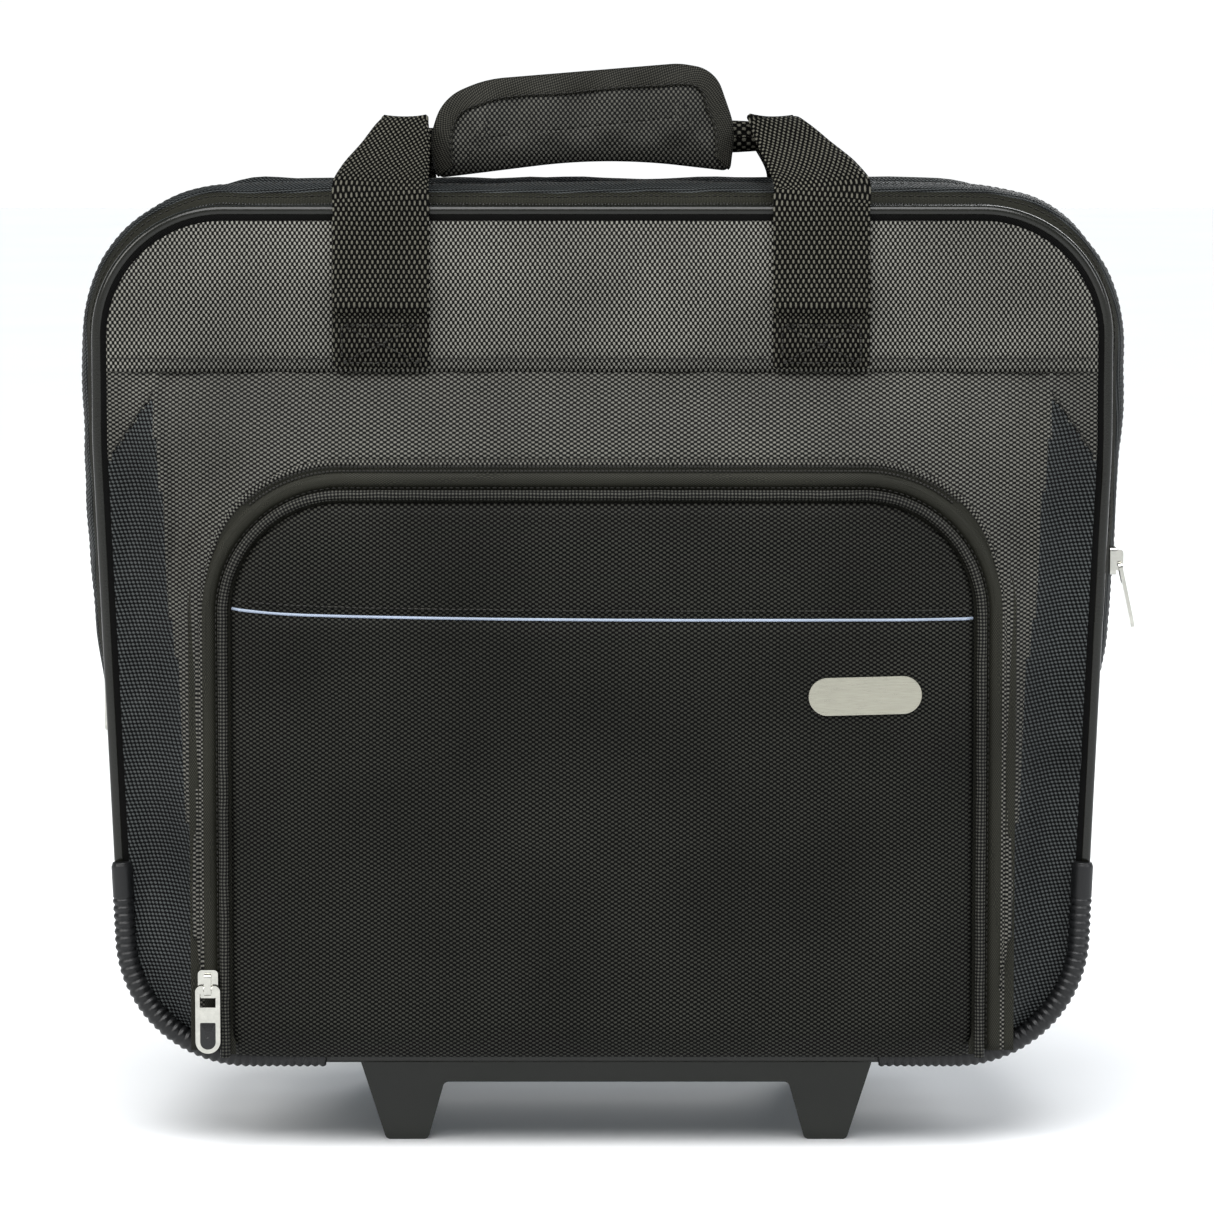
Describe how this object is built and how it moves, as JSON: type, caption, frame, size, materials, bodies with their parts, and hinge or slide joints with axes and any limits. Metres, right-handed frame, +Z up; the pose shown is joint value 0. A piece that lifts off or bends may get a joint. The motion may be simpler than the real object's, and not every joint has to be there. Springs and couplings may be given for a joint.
{
  "type": "rolling flight case",
  "caption": "Soft-sided rolling case with telescoping trolley handle, webbing carry handle, hinged front section, zipped flap pocket, moulded feet and wheels.",
  "frame": {"origin": "on the floor under the middle of the overall outline", "axes": "+Z up, front of the case faces -Y, +X to the right seen from the front"},
  "size_m": [0.4499, 0.1969, 0.459],
  "materials": {
    "nylon": "staggered ballistic nylon weave",
    "webbing": "ribbed nylon webbing",
    "lining": "plain woven lining",
    "board": "sheet board",
    "vinyl": "glossy extruded piping",
    "guard": "ribbed moulded rubber",
    "moulding": "satin moulded plastic",
    "zip_tape": "woven tape with a coil chain",
    "nickel": "satin nickel",
    "steel": "plain steel",
    "aluminium": "anodised",
    "accent": "grey cord",
    "tyre": "polyurethane",
    "wheel": "moulded hub",
    "button": "moulded"
  },
  "bodies": {
    "case": {"back_panel": "nylon", "main_gusset": "nylon", "laptop_gusset": "nylon", "divider_panel": "lining", "rear_piping": "vinyl", "base_board": "board", "laptop_pad": "lining", "laptop_strap": "webbing", "main_zip": "zip_tape", "laptop_zip": "zip_tape", "foot_bar": "moulding", "foot_bar_screws": "steel", "wheel_carriage": "moulding", "carriage_screws": "steel", "wheel_axles": "steel", "outer_tubes": "aluminium", "trolley_bezel": "moulding", "trolley_cover": "nylon", "rear_strap": "webbing"},
    "front_section": {"front_panel": "nylon", "yoke_panel": "nylon", "front_piping": "vinyl", "corner_guard_left": "guard", "corner_guard_right": "guard", "pocket_gusset": "nylon", "organiser_pocket": "lining", "front_zip_outer": "zip_tape", "front_strap": "webbing", "grip_wrap": "nylon"},
    "wrap_cover": {"grip_wrap_cover": "nylon"},
    "pocket_flap": {"flap_panel": "nylon", "flap_piping": "vinyl", "front_zip_inner": "zip_tape", "accent_piping": "accent", "badge_plate": "nickel"},
    "front_slider": {"front_zip_slider": "nickel"},
    "front_pull": {"front_zip_pull": "nickel"},
    "main_slider": {"main_zip_slider": "nickel"},
    "main_pull": {"main_zip_pull": "nickel"},
    "laptop_slider": {"laptop_zip_slider": "nickel"},
    "laptop_pull": {"laptop_zip_pull": "nickel"},
    "trolley_middle": {"middle_tubes": "aluminium", "middle_collars": "moulding"},
    "trolley_upper": {"inner_tubes": "aluminium", "grip_base": "moulding", "grip_cap": "moulding", "button_spring": "steel"},
    "release": {"release_button": "button", "release_rods": "steel"},
    "wheel_left": {"wheel_left_tyre": "tyre", "wheel_left_hub": "wheel"},
    "wheel_right": {"wheel_right_tyre": "tyre", "wheel_right_hub": "wheel"}
  },
  "joints": [
    {"name": "front_section_hinge", "type": "hinge", "parent": "case", "child": "front_section", "pos_m": [0, -0.0577, 0.0348], "axis": [1, 0, 0], "range_deg": [0, 30]},
    {"name": "pocket_flap_hinge", "type": "hinge", "parent": "front_section", "child": "pocket_flap", "pos_m": [0, -0.0868, 0.042], "axis": [1, 0, 0], "range_deg": [0, 60]},
    {"name": "grip_wrap_cover_hinge", "type": "hinge", "parent": "front_section", "child": "wrap_cover", "pos_m": [0, -0.0155, 0.413], "axis": [1, 0, 0], "range_deg": [0, 85]},
    {"name": "front_zip_slide", "type": "slide", "parent": "front_section", "child": "front_slider", "axis": [0, 0, 1], "range_m": [0, 0.15]},
    {"name": "front_zip_pull_swing", "type": "hinge", "parent": "front_slider", "child": "front_pull", "pos_m": [-0.167, -0.0925, 0.0719], "axis": [-1, 0, 0], "range_deg": [0, 140]},
    {"name": "main_zip_slide", "type": "slide", "parent": "case", "child": "main_slider", "axis": [0.046, 0, 0.9989], "range_m": [-0.05, 0.03]},
    {"name": "main_zip_pull_swing", "type": "hinge", "parent": "main_slider", "child": "main_pull", "pos_m": [0.22086, -0.0508, 0.2484], "axis": [0, -1, 0], "range_deg": [-10, 120]},
    {"name": "laptop_zip_slide", "type": "slide", "parent": "case", "child": "laptop_slider", "axis": [-0.0499, 0, 0.9988], "range_m": [-0.02, 0.09]},
    {"name": "laptop_zip_pull_swing", "type": "hinge", "parent": "laptop_slider", "child": "laptop_pull", "pos_m": [-0.21867, 0.029, 0.1944], "axis": [0, 1, 0], "range_deg": [0, 130]},
    {"name": "trolley_middle_slide", "type": "slide", "parent": "case", "child": "trolley_middle", "axis": [0, 0, 1], "range_m": [0, 0.27]},
    {"name": "trolley_upper_slide", "type": "slide", "parent": "trolley_middle", "child": "trolley_upper", "axis": [0, 0, 1], "range_m": [0, 0.27]},
    {"name": "release_button_press", "type": "slide", "parent": "trolley_upper", "child": "release", "axis": [0, 0, -1], "range_m": [0, 0.004], "stiffness_N_per_m": 1200, "springref_m": -0.0015, "deforming": ["button_spring"]},
    {"name": "wheel_left_spin", "type": "hinge", "parent": "case", "child": "wheel_left", "pos_m": [-0.087, 0.076, 0.023], "axis": [1, 0, 0], "continuous": true},
    {"name": "wheel_right_spin", "type": "hinge", "parent": "case", "child": "wheel_right", "pos_m": [0.099, 0.076, 0.023], "axis": [1, 0, 0], "continuous": true}
  ]
}
